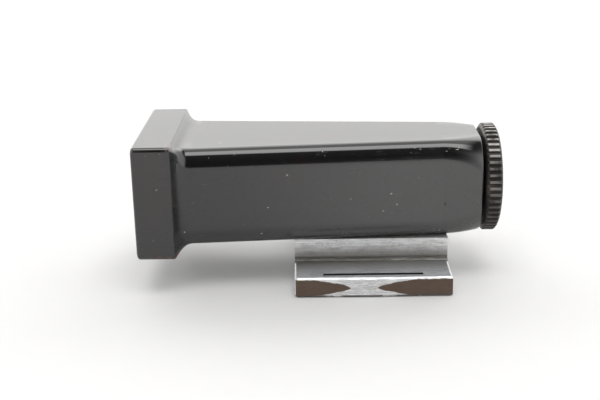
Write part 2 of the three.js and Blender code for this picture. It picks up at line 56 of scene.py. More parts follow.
class Value:
    """A socket of a node tree. Arithmetic on it adds Math nodes to that tree."""

    def __init__(self, recipe, socket):
        self.recipe = recipe
        self.socket = socket

    __add__ = __radd__ = operation("ADD")
    __mul__ = __rmul__ = operation("MULTIPLY")
    __sub__ = operation("SUBTRACT")
    __rsub__ = operation("SUBTRACT", swapped=True)
    __truediv__ = operation("DIVIDE")
    __pow__ = operation("POWER")
    __gt__ = operation("GREATER_THAN")
    __lt__ = operation("LESS_THAN")
    __abs__ = operation("ABSOLUTE")
    root = operation("SQRT")
    angle_from = operation("ARCTAN2")
    fraction = operation("FRACT")
    at_most = operation("MINIMUM")
    at_least = operation("MAXIMUM")

    def fade(self, start, end):
        """0 before start and 1 after end, with a soft passage between them."""
        inputs = {"Value": self, "From Min": start, "From Max": end}
        return self.recipe.put("ShaderNodeMapRange", inputs, interpolation_type="SMOOTHSTEP")


class Recipe:
    """Adds nodes to a shader or geometry tree."""

    def __init__(self, tree):
        self.tree = tree

    def put(self, kind, inputs=None, output=0, **settings):
        """Adds a node with these inputs and settings, and gives one of its outputs."""
        node = self.tree.nodes.new(kind)
        for name, value in settings.items():
            setattr(node, name, value)
        for name, value in (inputs or {}).items():
            if isinstance(value, Value):
                self.tree.links.new(value.socket, node.inputs[name])
            else:
                node.inputs[name].default_value = value
        return Value(self, node.outputs[output])

    def parts(self, vector):
        """The three parts of a vector."""
        first = self.put("ShaderNodeSeparateXYZ", {0: vector})
        outputs = first.socket.node.outputs
        return [Value(self, outputs[i]) for i in range(3)]

    def blend(self, share, plain, other):
        """One colour turning into another as share goes from 0 to 1."""
        pair = [colour if isinstance(colour, Value) else (*colour, 1.0) for colour in (plain, other)]
        inputs = {0: share, 6: pair[0], 7: pair[1]}
        return self.put("ShaderNodeMix", inputs, 2, data_type="RGBA")

    def layers(self, base, *coats):
        """Coats of colour over a base, each with the share that it covers."""
        for share, colour in coats:
            base = self.blend(share, base, colour)
        return base

    def millimetres(self):
        """Place on the object, in millimetres."""
        place = self.put("ShaderNodeTexCoord", output="Object")
        return self.put("ShaderNodeVectorMath", {0: place, "Scale": 1000.0}, operation="SCALE")

    def stretched(self, place, scale, turn=(0.0, 0.0, 0.0)):
        """The same place with its three axes turned and scaled."""
        return self.put("ShaderNodeMapping", {"Vector": place, "Rotation": turn, "Scale": scale})

    def noise(self, place, scale, detail=2.0):
        inputs = {"Vector": place, "Scale": scale, "Detail": detail}
        return self.put("ShaderNodeTexNoise", inputs)


studio = bpy.data.worlds.new("studio")
bpy.context.scene.world = studio
studio.use_nodes = True
studio.node_tree.nodes.clear()
room = Recipe(studio.node_tree)
across, away, up = room.parts(room.put("ShaderNodeTexCoord", output="Generated"))
over = up.angle_from(away)  # in radians, from the foot of the back wall over the top to the near side
wall_light = 1.6 + over.fade(0.2, 0.47) * 1.25
wall_light = wall_light * over.fade(1.15, 0.85) * abs(across).fade(0.85, 0.6)
box_light = 1.1 + over.fade(1.5, 1.62) * 3.0
box_light = box_light * over.fade(0.85, 1.15) * over.fade(2.1, 1.95) * abs(across).fade(0.5, 0.34)
end_light = abs(across).fade(0.2, 0.75) * up.fade(0.85, 0.6) * 1.6
room_light = 0.06 + up.fade(0.3, 1.0) * 0.08
floor_light = 0.9
light = (wall_light + box_light + end_light + room_light) * (up > 0.0) + floor_light * (up < 0.0)
background = room.put("ShaderNodeBackground", {"Strength": light})
world_output = studio.node_tree.nodes.new("ShaderNodeOutputWorld")
studio.node_tree.links.new(background.socket, world_output.inputs["Surface"])
background.socket.node.inputs["Color"].default_value = (1.0, 0.995, 0.985, 1.0)


def new_finish(name):
    """A material, its recipe, its main shader node and the place on the object in millimetres."""
    material = bpy.data.materials.new(name)
    material.use_nodes = True
    material.node_tree.nodes.clear()
    recipe = Recipe(material.node_tree)
    shader = recipe.put("ShaderNodeBsdfPrincipled")
    output = material.node_tree.nodes.new("ShaderNodeOutputMaterial")
    material.node_tree.links.new(shader.socket, output.inputs["Surface"])
    return material, recipe, shader.socket.node, recipe.millimetres()


def feed(shader, **sockets):
    """Links or sets the shader's sockets; an underscore stands for a space."""
    for name, value in sockets.items():
        socket = shader.inputs[name.replace("_", " ")]
        if isinstance(value, Value):
            value.recipe.tree.links.new(value.socket, socket)
        else:
            socket.default_value = value


def relief(recipe, height, strength, distance):
    """A bump of the given height, for the shader's Normal; distance is in metres."""
    inputs = {"Height": height, "Strength": strength, "Distance": distance}
    return recipe.put("ShaderNodeBump", inputs)


def placed(name, data):
    """A new object in the scene."""
    made = bpy.data.objects.new(name, data)
    bpy.context.scene.collection.objects.link(made)
    return made


paper, recipe, shader, place = new_finish("pale_paper")
fibre = recipe.noise(place, 0.6, 3.0)
feed(
    shader,
    Base_Color=recipe.blend(fibre, (0.53, 0.53, 0.529), (0.545, 0.545, 0.544)),
    Roughness=0.9,
    Specular_IOR_Level=0.2,
)
floor_half = 3.0
floor_drop = 0.00002
floor_mesh = bpy.data.meshes.new("table_paper")
floor_corners = [(-1, -1), (1, -1), (1, 1), (-1, 1)]
floor_mesh.from_pydata(
    [(sx * floor_half, sy * floor_half, -floor_drop) for sx, sy in floor_corners], [], [(0, 1, 2, 3)]
)
table_paper = placed("table_paper", floor_mesh)
table_paper.data.materials.append(paper)


def soft_fill(name, energy, place, tilt):
    """A wide soft lamp, tilted from straight down about X, that polished faces don't mirror."""
    lamp = bpy.data.lights.new(name, "AREA")
    lamp.shape = "DISK"
    lamp.size = 1.2
    lamp.energy = energy
    made = placed(name, lamp)
    made.location = place
    made.rotation_euler = (math.radians(tilt), 0, 0)
    made.visible_glossy = False


soft_fill("rear_fill", 0.8, (0.0, 0.35, 1.0), -19)
soft_fill("near_fill", 4.0, (-0.1, -0.9, 0.7), 52)

view_yaw = math.radians(0.7313)
view_tilt = math.radians(18.57)
view_roll = math.radians(-1.0057)
view_distance = 0.1072
view_target = Vector((-0.007055, 0.0, 0.006892))
camera_data = bpy.data.cameras.new("camera")
camera_data.lens = 62.65
camera_data.sensor_width = 36.0
camera_data.clip_start = 0.001
camera = placed("camera", camera_data)
camera.matrix_world = (
    Matrix.Translation(view_target)
    @ Matrix.Rotation(view_yaw, 4, "Z")
    @ Matrix.Rotation(math.pi / 2 - view_tilt, 4, "X")
    @ Matrix.Rotation(view_roll, 4, "Z")
    @ Matrix.Translation((0.0, 0.0, view_distance))
)
bpy.context.scene.camera = camera
bpy.context.scene.view_settings.view_transform = "Standard"

# ------------------------------------------------------------------ the housing
# The housing is one brass casting: a framed head, a tapering barrel and a tail that rounds off
# towards the eyepiece. It is bored from behind, milled out from the front and stove-lacquered
# glossy black, with dull black paint inside.

MM = 0.001
axis_z = 9.205
rear_x = 10.82
front_x = -22.83
head_rear_x = -19.15
barrel_x = -17.3
tail_x = 6.92
head_half = (8.0, 5.625)
barrel_half_front = 6.65
barrel_half_rear = 4.8
barrel_half_z = 4.875
head_edge = 0.45
barrel_edge = 1.5
barrel_edge_rise = 1.33  # the long edges are rounded over more height than width
tail_edge = 3.2
front_rounding = 0.35
wall = 0.9
glass_half = (6.2, 4.425)
bezel_half = (7.2, 4.825)
pocket_gap = 0.05  # clearance round the window and the bezel in their pockets
CORNER_STEPS = 10
FLAT_STEPS = 4
LOOP = 4 * (CORNER_STEPS + FLAT_STEPS)


def mix(a, b, share):
    return a + (b - a) * share


def grown(half, by):
    """A rectangle's half sizes, each made larger by the same amount."""
    return half[0] + by, half[1] + by


def rounded_loop(x, half_y, half_z, radius, rise=1.0):
    """Points round a rectangle with rounded corners that stands across the optical axis. The corners
    are rise times as high as they are wide."""
    corners = []
    for corner in range(4):
        cy = (half_y - radius) * (1 if corner in (0, 3) else -1)
        cz = (half_z - radius * rise) * (1 if corner < 2 else -1)
        for i in range(CORNER_STEPS + 1):
            angle = (corner + i / CORNER_STEPS) * math.pi / 2
            corners.append((cy + radius * math.cos(angle), cz + radius * rise * math.sin(angle)))
    points = []
    per_corner = CORNER_STEPS + 1
    for corner in range(4):
        points += corners[corner * per_corner : (corner + 1) * per_corner]
        last = points[-1]
        following = corners[((corner + 1) * per_corner) % len(corners)]
        for i in range(1, FLAT_STEPS):
            share = i / FLAT_STEPS
            points.append((mix(last[0], following[0], share), mix(last[1], following[1], share)))
    return [(x, y, axis_z + z) for y, z in points]


def round_loop(x, radius, count=LOOP):
    """Points round the optical axis, in step with the corners of rounded_loop."""
    points = []
    for i in range(count):
        angle = math.pi / 4 + (i - CORNER_STEPS / 2) * 2 * math.pi / count
        points.append((x, radius * math.cos(angle), axis_z + radius * math.sin(angle)))
    return points


def bands(loops, closed):
    """Faces between neighbouring loops. If closed, they join the last loop to the first too."""
    count = len(loops[0])
    faces = []
    for s in range(len(loops) if closed else len(loops) - 1):
        t = (s + 1) % len(loops)
        for i in range(count):
            j = (i + 1) % count
            faces.append((s * count + i, s * count + j, t * count + j, t * count + i))
    return faces


def skin(name, loops, closed=True):
    """An object skinned over loops of points in millimetres. A closed skin's last loop joins its first;
    an open one's end loops are single points on its axis."""
    return solid(name, loops, bands(loops, closed), merge=not closed)


def prism(name, loops):
    """An object skinned over loops of points in millimetres, with flat ends."""
    count = len(loops[0])
    last = (len(loops) - 1) * count
    ends = [tuple(range(count)), tuple(range(last, last + count))]
    return solid(name, loops, bands(loops, closed=False) + ends)


def solid(name, loops, faces, merge=False):
    """A closed object from loops of points in millimetres, with its faces turned outwards."""
    mesh = bpy.data.meshes.new(name)
    mesh.from_pydata([(x * MM, y * MM, z * MM) for loop in loops for x, y, z in loop], [], faces)
    work = bmesh.new()
    work.from_mesh(mesh)
    if merge:
        bmesh.ops.remove_doubles(work, verts=work.verts, dist=2e-7)
    bmesh.ops.recalc_face_normals(work, faces=work.faces)
    if work.calc_volume(signed=True) < 0:
        bmesh.ops.reverse_faces(work, faces=work.faces)
    work.to_mesh(mesh)
    work.free()
    return placed(name, mesh)


def bake_shape(piece):
    """Turns the piece's modifiers into its plain mesh."""
    bpy.context.view_layer.update()
    graph = bpy.context.evaluated_depsgraph_get()
    shaped = bpy.data.meshes.new_from_object(
        piece.evaluated_get(graph), preserve_all_data_layers=True, depsgraph=graph
    )
    shaped.name = piece.name
    piece.modifiers.clear()
    piece.data = shaped
    return piece


def joined(piece, tool, operation):
    """Cuts the tool from the piece, or adds it, and removes the tool."""
    step = piece.modifiers.new("cut", "BOOLEAN")
    step.operation = operation
    step.solver = "EXACT"
    step.object = tool
    bake_shape(piece)
    bpy.data.objects.remove(tool)
    return piece


def drill(x, y, z, radius_start, radius_end, length, toward, sides=32):
    """A plug for cutting a round hole that starts at a point, in millimetres, and runs along toward."""
    direction = Vector(toward).normalized()
    side = direction.orthogonal().normalized()
    other = direction.cross(side)
    loops = []
    for depth, radius in ((0, 0), (0, radius_start), (length, radius_end), (length, 0)):
        centre = Vector((x, y, z)) + direction * depth
        loops.append(
            [
                tuple(centre + (side * math.cos(a) + other * math.sin(a)) * radius)
                for a in (2 * math.pi * i / sides for i in range(sides))
            ]
        )
    return skin("drill", loops, closed=False)


def drill_up(piece, x, low, radius, length, end_radius=None, sides=32):
    """Drills up into the piece on its middle plane. The hole tapers if it has an end radius."""
    tool = drill(x, 0, low, radius, end_radius or radius, length, (0, 0, 1), sides)
    joined(piece, tool, "DIFFERENCE")


def smooth_finish(piece, material=None, sharp=32.0, bevel=0.0, bevel_material=-1):
    """Rounds the sharp edges if asked to, shades the piece smooth with its flats kept flat, and gives
    it its material."""
    if bevel:
        step = piece.modifiers.new("edges", "BEVEL")
        step.width = bevel * MM
        step.segments = 2
        step.limit_method = "ANGLE"
        step.angle_limit = math.radians(sharp)
        step.material = bevel_material
        bake_shape(piece)
    work = bmesh.new()
    work.from_mesh(piece.data)
    limit = math.radians(sharp)
    for face in work.faces:
        face.smooth = True
    for edge in work.edges:
        edge.smooth = not (len(edge.link_faces) == 2 and edge.calc_face_angle(0.0) > limit)
    work.to_mesh(piece.data)
    work.free()
    step = piece.modifiers.new("flats", "WEIGHTED_NORMAL")
    step.weight = 100
    step.keep_sharp = True
    bake_shape(piece)
    if material:
        piece.data.materials.append(material)
    return piece


def barrel_half(x):
    share = min(1.0, max(0.0, (x - barrel_x) / (tail_x - barrel_x)))
    return mix(barrel_half_front, barrel_half_rear, share)


outer = []
ROUND_STEPS = 6
for i in range(ROUND_STEPS + 1):
    angle = math.pi / 2 * i / ROUND_STEPS
    inset = front_rounding * (1 - math.sin(angle))
    x = front_x + front_rounding * (1 - math.cos(angle))
    outer.append(rounded_loop(x, head_half[0] - inset, head_half[1] - inset, head_edge))
BLEND_STEPS = 24
blend_start = 0.04  # share of the fillet in which it turns off the head
for i in range(BLEND_STEPS + 1):
    share = i / BLEND_STEPS
    rest = (1 - share * share * (1 + blend_start) / (share + blend_start)) ** 3
    outer.append(
        rounded_loop(
            mix(head_rear_x, barrel_x, share),
            mix(barrel_half_front, head_half[0], rest),
            mix(barrel_half_z, head_half[1], rest),
            mix(barrel_edge, head_edge, rest),
            mix(barrel_edge_rise, 1.0, rest),
        )
    )
TAIL_STEPS = 18
rear_rounding = 0.1
tail_edge_power = 1.8  # how late along the tail its edges widen
for i in range(TAIL_STEPS + 1):
    share = i / TAIL_STEPS
    swell = share * share * (3 - 2 * share)
    outer.append(
        rounded_loop(
            mix(tail_x, rear_x - rear_rounding, share),
            mix(barrel_half_rear, barrel_half_z, swell),
            barrel_half_z,
            mix(barrel_edge, tail_edge, share**tail_edge_power),
            mix(barrel_edge_rise, 1.0, swell),
        )
    )
for angle in (30, 60, 90):
    inset = rear_rounding * (1 - math.cos(math.radians(angle)))
    x = rear_x - rear_rounding * (1 - math.sin(math.radians(angle)))
    outer.append(rounded_loop(x, barrel_half_z - inset, barrel_half_z - inset, tail_edge - inset))

hollow_front_x = -20.63
hollow_end_x = 7.72
glass_x = -22.0
counterbore_x = 10.49
counterbore_radius = 4.15
bush_bore = 3.9
inner = [
    round_loop(rear_x, counterbore_radius),
    round_loop(counterbore_x, counterbore_radius),
    round_loop(counterbore_x, bush_bore),
    round_loop(hollow_end_x, bush_bore),
]
hollow_corner = 0.3
for x in (hollow_end_x, tail_x, barrel_x, hollow_front_x):
    inner.append(rounded_loop(x, barrel_half(x) - wall, barrel_half_z - wall, hollow_corner))
mouth_flare = 0.08
glass_pocket = grown(glass_half, pocket_gap)
bezel_pocket = grown(bezel_half, pocket_gap)
for x, half in (
    (hollow_front_x, glass_pocket),
    (glass_x, glass_pocket),
    (glass_x, bezel_pocket),
    (front_x + mouth_flare, bezel_pocket),
    (front_x, grown(bezel_pocket, mouth_flare)),
):
    inner.append(rounded_loop(x, *half, hollow_corner))
housing = skin("housing", outer + inner)
lacquered = len(outer)
for face in housing.data.polygons:
    loops = [vertex // LOOP for vertex in face.vertices]
    face.material_index = 0 if min(loops) < lacquered and max(loops) <= lacquered else 1
edge_wear = housing.data.attributes.new("edge_wear", "FLOAT", "POINT")
corner_share = []
for i in range(LOOP):
    step = i % (CORNER_STEPS + FLAT_STEPS)
    corner_share.append(math.sin(math.pi * step / CORNER_STEPS) if step <= CORNER_STEPS else 0.0)
worn = [0.0] * len(housing.data.vertices)
for s in range(lacquered):
    front_share = math.sin(math.pi * s / ROUND_STEPS) if s < ROUND_STEPS else 0.0
    for i in range(LOOP):
        worn[s * LOOP + i] = max(corner_share[i], front_share)
edge_wear.data.foreach_set("value", worn)

under_belly = 4.0
through_floor = 2.2
set_screw_x = 9.27
set_screw_hole = 0.45
drill_up(housing, set_screw_x, under_belly, set_screw_hole, through_floor)
bezel_screw_y = 6.7
bezel_screw_hole = 0.35
bezel_hole_x = -22.28
for side in (-1, 1):
    tool = drill(
        bezel_hole_x, side * bezel_screw_y, axis_z, bezel_screw_hole, bezel_screw_hole, 1.3, (1, 0, 0), 16
    )
    joined(housing, tool, "DIFFERENCE")
foot_screw_places = (-4.3, 4.52)
foot_screw_hole = 0.75
for x in foot_screw_places:
    drill_up(housing, x, under_belly, foot_screw_hole, through_floor)
smooth_finish(housing)

# Glossy stoving lacquer: almost black, a trace of orange peel, hairline scratches and settled dust,
# with small chips that show bare metal where the edges are handled most.
lacquer, recipe, shader, place = new_finish("black_lacquer")
px, py, pz = recipe.parts(place)
worn_edge = recipe.put("ShaderNodeAttribute", output="Fac", attribute_name="edge_wear")
blotch = recipe.noise(place, 0.22, 3.0)
grime = recipe.noise(place, 1.1, 4.0)


def hairlines(recipe, place, turn, density):
    """Fine scratches: thin contours of a noise drawn out along one direction, broken up by another."""
    along = recipe.stretched(place, (0.09, 2.6, 2.6), turn)
    line = abs(recipe.noise(along, 1.0, 0.0) - 0.5).fade(0.0035, 0.0008)
    patchy = recipe.noise(place, 0.55, 2.0).fade(density, density + 0.05)
    return line * patchy


scratches = hairlines(recipe, place, (0.0, 0.5, 0.2), 0.56)
scratches = scratches + hairlines(recipe, place, (0.3, -0.75, -0.25), 0.6) * 0.8
scratches = (scratches + hairlines(recipe, place, (0.0, 0.05, 0.06), 0.58) * 0.6).at_most(1.0)


def specks(recipe, place, scale, size, rarity):
    """Round specks: one cell in many holds a speck of the given size, a share of the cell."""
    cell = recipe.put("ShaderNodeTexVoronoi", {"Vector": place, "Scale": scale})
    colour = Value(recipe, cell.socket.node.outputs["Color"])
    chosen, other, _ = recipe.parts(colour)
    return cell.fade(size * 1.25, size * 0.7) * (chosen > rarity) * (0.35 + other * 0.65)


dust = specks(recipe, place, 0.9, 0.075, 0.86)
dust = dust.at_least(specks(recipe, place, 2.1, 0.09, 0.93) * 0.7)


def mark(x, z, length, width, slope=0.0):
    """A dint or chip on the -Y side: an oval at x and z, drawn out along a slope in degrees."""
    cos = math.cos(math.radians(slope))
    sin = math.sin(math.radians(slope))
    dx = px - x
    dz = pz - z
    along = (dx * cos + dz * sin) / length
    over = (dz * cos - dx * sin) / width
    return (along * along + over * over).fade(1.0, 0.35) * (py < -4.0)


turned_place = recipe.stretched(place, (0.8, 1.0, 1.1), (0.4, 0.2, 0.0))
pale_marks = specks(recipe, turned_place, 0.9, 0.09, 0.7).at_least(mark(1.9, 9.15, 0.13, 0.09, 20))
pale_marks = pale_marks * recipe.noise(place, 7.0, 3.0).fade(0.4, 0.55)
long_marks = mark(-21.2, 5.8, 1.6, 0.05, -32).at_least(mark(-22.1, 10.4, 0.45, 0.05, -62))
long_marks = long_marks.at_least(mark(-20.7, 6.1, 0.9, 0.04, -38))
dark_marks = mark(7.2, 7.9, 0.12, 0.12)

edge_chips = (worn_edge * 0.5 + recipe.noise(place, 2.6, 4.0) * 0.7).fade(1.0, 1.015)
rear_edge = px.fade(2.0, 5.0) * px.fade(10.0, 8.0) * (pz > 12.9) * (py < 0.0)
rear_grain = recipe.noise(recipe.stretched(place, (1.4, 5.0, 5.0)), 1.6, 3.0)
rear_chips = (rear_grain * worn_edge).fade(0.66, 0.7)
edge_chips = edge_chips.at_least(rear_chips * rear_edge)
lower_head = px.fade(-21.2, -20.4) * px.fade(-18.6, -19.1) * (pz < 4.3) * (py < 0.0) * worn_edge
head_patch = (py < -6.6) * pz.fade(14.35, 14.6) * px.fade(-19.7, -19.3) * px.fade(-18.2, -18.7)
brown_rub = (lower_head * recipe.noise(place, 1.5, 3.0).fade(0.42, 0.5)).at_most(1.0)
pink_rub = head_patch * grime.fade(0.4, 0.52)

red_tint = blotch.fade(0.5, 0.72)
flank = pz.fade(12.9, 11.9)  # the sides are hazy with wear, the edges and the top still bright
haze = px.fade(-18.0, 5.0) * flank
base = recipe.blend(red_tint, (0.0035, 0.0035, 0.004), (0.008, 0.0035, 0.0035))
base = recipe.layers(
    base,
    (haze, (0.036, 0.035, 0.035)),
    (scratches * 0.5, (0.055, 0.055, 0.056)),
    (long_marks * 0.6, (0.0, 0.0, 0.0)),
    (dust * 0.5, (0.16, 0.155, 0.15)),
    (pale_marks * 0.7, (0.4, 0.4, 0.4)),
    (dark_marks, (0.001, 0.001, 0.001)),
    (brown_rub * 0.8, (0.12, 0.045, 0.02)),
    (pink_rub * 0.12, (0.45, 0.36, 0.35)),
    (edge_chips, (0.62, 0.6, 0.57)),
)
bare = edge_chips.at_least(pale_marks * 0.6)
rough = 0.06 + flank * 0.18 + grime.fade(0.35, 0.75) * 0.04 + scratches * 0.12 + dust * 0.4
rough = (rough + bare * 0.3 + dark_marks * 0.6 + brown_rub * 0.4 + pink_rub * 0.3).at_most(0.9)
peel = recipe.noise(place, 0.75, 1.0) + recipe.noise(place, 2.4, 1.0) * 0.12
height = peel * 0.25 + dust * 0.6 - scratches * 0.25 - bare * 0.8 - long_marks * 0.6
feed(
    shader,
    Base_Color=base,
    Roughness=rough,
    Metallic=edge_chips * 0.8,
    IOR=1.7,
    Normal=relief(recipe, height, 0.35, 0.00002),
)

# Dull optical paint: a fine-grained black with a few rubbed places.
dull_black, recipe, shader, place = new_finish("dull_black")
grain = recipe.noise(place, 9.0, 3.0)
rubbed = recipe.noise(place, 0.9, 4.0).fade(0.6, 0.72)
base = recipe.blend(grain, (0.007, 0.007, 0.0075), (0.016, 0.0155, 0.015))
feed(
    shader,
    Base_Color=recipe.blend(rubbed * 0.6, base, (0.05, 0.047, 0.043)),
    Roughness=0.5 + grain * 0.3 - rubbed * 0.15,
    Normal=relief(recipe, grain, 0.4, 0.00002),
)

housing.data.materials.clear()
housing.data.materials.append(lacquer)
housing.data.materials.append(dull_black)
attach(housing, "housing")
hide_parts("body_shell")

# ------------------------------------------------------------------ the bezel and its screws
# The bezel is a milled brass frame, blackened. It drops into the head over the window, its opening
# flared towards the front, and two countersunk slotted screws hold it.

bezel_x = -22.63
bezel_thickness = 0.6
opening_half = (5.65, 3.875)
flare = 0.3
opening_land = 0.12
bezel_edge = 0.05
bezel_loops = []
for x, half, radius in (
    (bezel_x + bezel_thickness, bezel_half, 0.25),
    (bezel_x + bezel_edge, bezel_half, 0.25),
    (bezel_x, grown(bezel_half, -bezel_edge), 0.22),
    (bezel_x, grown(opening_half, flare + bezel_edge), 0.36),
    (bezel_x + bezel_edge, grown(opening_half, flare), 0.34),
    (bezel_x + bezel_thickness - opening_land, opening_half, 0.3),
    (bezel_x + bezel_thickness, opening_half, 0.3),
):
    bezel_loops.append(rounded_loop(x, *half, radius))
bezel = skin("bezel", bezel_loops)
bezel_screw_seat = 0.53
for side in (-1, 1):
    for depth, start, end, length in (
        (-0.2, bezel_screw_seat, bezel_screw_seat, 0.31),
        (0.1, bezel_screw_seat, bezel_screw_hole, 0.18),
        (0.2, bezel_screw_hole, bezel_screw_hole, 0.8),
    ):
        tool = drill(bezel_x + depth, side * bezel_screw_y, axis_z, start, end, length, (1, 0, 0))
        joined(bezel, tool, "DIFFERENCE")
smooth_finish(bezel)

# Blackened metal: satin, with thin warm rubbing on the high places.
blackened, recipe, shader, place = new_finish("blackened_metal")
grain = recipe.noise(recipe.stretched(place, (6.0, 0.6, 6.0)), 1.0, 3.0)
rubbed = recipe.noise(place, 1.3, 5.0).fade(0.58, 0.7)
base = recipe.blend(grain, (0.012, 0.0115, 0.012), (0.028, 0.026, 0.026))
feed(
    shader,
    Base_Color=recipe.blend(rubbed * 0.5, base, (0.11, 0.085, 0.06)),
    Roughness=0.32 + grain * 0.18,
    Metallic=0.35 + rubbed * 0.4,
    Normal=relief(recipe, grain, 0.3, 0.00001),
)
bezel.data.materials.append(blackened)
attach(bezel, "housing")
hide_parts("front_bezel")


def new_shape_tree(name, sizes):
    """A geometry tree with named size inputs; returns the tree, its recipe and its inputs by name."""
    tree = bpy.data.node_groups.new(name, "GeometryNodeTree")
    tree.interface.new_socket("Geometry", in_out="INPUT", socket_type="NodeSocketGeometry")
    tree.interface.new_socket("Geometry", in_out="OUTPUT", socket_type="NodeSocketGeometry")
    for size in sizes:
        kind = "NodeSocketVector" if size == "Turn" else "NodeSocketFloat"
        tree.interface.new_socket(size, in_out="INPUT", socket_type=kind)
    tree.interface.new_socket("Finish", in_out="INPUT", socket_type="NodeSocketMaterial")
    recipe = Recipe(tree)
    first = recipe.put("NodeGroupInput").socket.node
    given = {socket.name: Value(recipe, socket) for socket in first.outputs if socket.name}
    return tree, recipe, given


def end_shape_tree(recipe, shape, finish):
    """Realizes the instances, sets the material and ends the tree."""
    real = recipe.put("GeometryNodeRealizeInstances", {0: shape})
    coated = recipe.put("GeometryNodeSetMaterial", {"Geometry": real, "Material": finish})
    last = recipe.tree.nodes.new("NodeGroupOutput")
    recipe.tree.links.new(coated.socket, last.inputs[0])


def grow_shape(piece, tree, **sizes):
    """Runs a geometry tree on the piece with these inputs, and keeps the result as a plain mesh."""
    step = piece.modifiers.new("shape", "NODES")
    step.node_group = tree
    for item in tree.interface.items_tree:
        key = item.name.replace(" ", "_").lower()
        if item.in_out == "INPUT" and key in sizes:
            step[item.identifier] = sizes[key]
    return bake_shape(piece)


# One recipe turns every screw: a countersunk or plain head, a shank, and a slot sawn across it.
screw_sizes = ("Head Radius", "Rim", "Cone", "Shank Radius", "Length", "Slot Width", "Slot Depth", "Turn")
screw_tree, recipe, given = new_shape_tree("slotted_screw", screw_sizes)
SCREW_SIDES = 40
rim = recipe.put(
    "GeometryNodeMeshCylinder",
    {"Vertices": SCREW_SIDES, "Radius": given["Head Radius"], "Depth": given["Rim"]},
)


def raised(recipe, shape, height):
    """The shape moved up its own axis."""
    offset = recipe.put("ShaderNodeCombineXYZ", {"Z": height})
    return recipe.put("GeometryNodeTransform", {"Geometry": shape, "Translation": offset})


rim = raised(recipe, rim, given["Rim"] * 0.5)
cone = recipe.put(
    "GeometryNodeMeshCone",
    {
        "Vertices": SCREW_SIDES,
        "Radius Bottom": given["Head Radius"],
        "Radius Top": given["Shank Radius"],
        "Depth": given["Cone"],
    },
)
cone = raised(recipe, cone, given["Rim"])
shank_length = given["Length"] - given["Rim"] * 0.5
shank = recipe.put(
    "GeometryNodeMeshCylinder",
    {"Vertices": SCREW_SIDES, "Radius": given["Shank Radius"], "Depth": shank_length},
)
shank = raised(recipe, shank, given["Length"] * 0.5 + given["Rim"] * 0.25)
slot_size = recipe.put(
    "ShaderNodeCombineXYZ",
    {"X": given["Head Radius"] * 3.0, "Y": given["Slot Width"], "Z": given["Slot Depth"] * 2.0},
)
blade = recipe.put("GeometryNodeMeshCube", {"Size": slot_size})
whole_node = recipe.tree.nodes.new("GeometryNodeMeshBoolean")
whole_node.operation = "UNION"
for part in (rim, cone, shank):
    recipe.tree.links.new(part.socket, whole_node.inputs[1])
slotted_node = recipe.tree.nodes.new("GeometryNodeMeshBoolean")
slotted_node.operation = "DIFFERENCE"
recipe.tree.links.new(whole_node.outputs[0], slotted_node.inputs[0])
recipe.tree.links.new(blade.socket, slotted_node.inputs[1])
screws = recipe.put(
    "GeometryNodeInstanceOnPoints",
    {
        "Points": given["Geometry"],
        "Instance": Value(recipe, slotted_node.outputs[0]),
        "Rotation": recipe.put("FunctionNodeEulerToRotation", {0: given["Turn"]}),
    },
)
end_shape_tree(recipe, screws, given["Finish"])

# Screw steel: turned rings on the head, a little dark oil in the slot and on the flanks.
screw_steel, recipe, shader, place = new_finish("screw_steel")
grain = recipe.noise(recipe.stretched(place, (9.0, 9.0, 1.0)), 1.0, 3.0)
stain = recipe.noise(place, 1.6, 4.0).fade(0.45, 0.7)
base = recipe.blend(grain, (0.34, 0.335, 0.33), (0.5, 0.5, 0.5))
feed(
    shader,
    Base_Color=recipe.blend(stain * 0.7, base, (0.13, 0.105, 0.08)),
    Roughness=0.28 + stain * 0.25 + grain * 0.1,
    Metallic=1.0,
    Normal=relief(recipe, grain, 0.35, 0.00001),
)


def screw_set(name, places, turn, finish=screw_steel, bevel=0.025, **sizes):
    """Screws of one size at these places in millimetres; sizes are in millimetres too."""
    mesh = bpy.data.meshes.new(name)
    mesh.from_pydata([tuple(Vector(p) * MM) for p in places], [], [])
    made = placed(name, mesh)
    scaled = {key: value * MM for key, value in sizes.items()}
    grow_shape(made, screw_tree, turn=turn, finish=finish, **scaled)
    return smooth_finish(made, bevel=bevel)


bezel_screws = screw_set(
    "bezel_screws",
    [(bezel_x + 0.03, side * bezel_screw_y, axis_z) for side in (-1, 1)],
    (0.0, math.pi / 2, 0.0),
    head_radius=0.48,
    rim=0.08,
    cone=0.18,
    shank_radius=0.3,
    length=1.5,
    slot_width=0.12,
    slot_depth=0.12,
    bevel=0.015,
)
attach(bezel_screws, "housing")
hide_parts("bezel_screw_left", "bezel_screw_right")

# ------------------------------------------------------------------ the front window
# The window is one ground glass, flat outside and hollowed inside, seated on a thin fibre gasket.
# Its polished faces carry a faint bluish bloom.

glass_depth = 1.2
hollow_depth = 0.5
glass_edge = 0.06
window_loops = [
    [(glass_x, 0.0, axis_z)] * LOOP,
    rounded_loop(glass_x, *grown(glass_half, -glass_edge), 0.2),
    rounded_loop(glass_x + glass_edge, *glass_half, 0.25),
    rounded_loop(glass_x + glass_depth, *glass_half, 0.25),
    [(glass_x + glass_depth, 0.0, axis_z)] * LOOP,
]
window = skin("front_window", window_loops, closed=False)
rim_radius = glass_half[1] - 0.2
curve_radius = (rim_radius**2 + hollow_depth**2) / (2 * hollow_depth)
hollow_loops = []
HOLLOW_STEPS = 24
HOLLOW_SIDES = 96
for i in range(HOLLOW_STEPS + 1):
    radius = rim_radius * i / HOLLOW_STEPS
    depth = math.sqrt(curve_radius**2 - radius**2) - (curve_radius - hollow_depth)
    hollow_loops.append(round_loop(glass_x + glass_depth - depth, radius, HOLLOW_SIDES))
hollow_loops.append(round_loop(glass_x + glass_depth + 1.0, rim_radius, HOLLOW_SIDES))
hollow_loops.append(round_loop(glass_x + glass_depth + 1.0, 0.0, HOLLOW_SIDES))
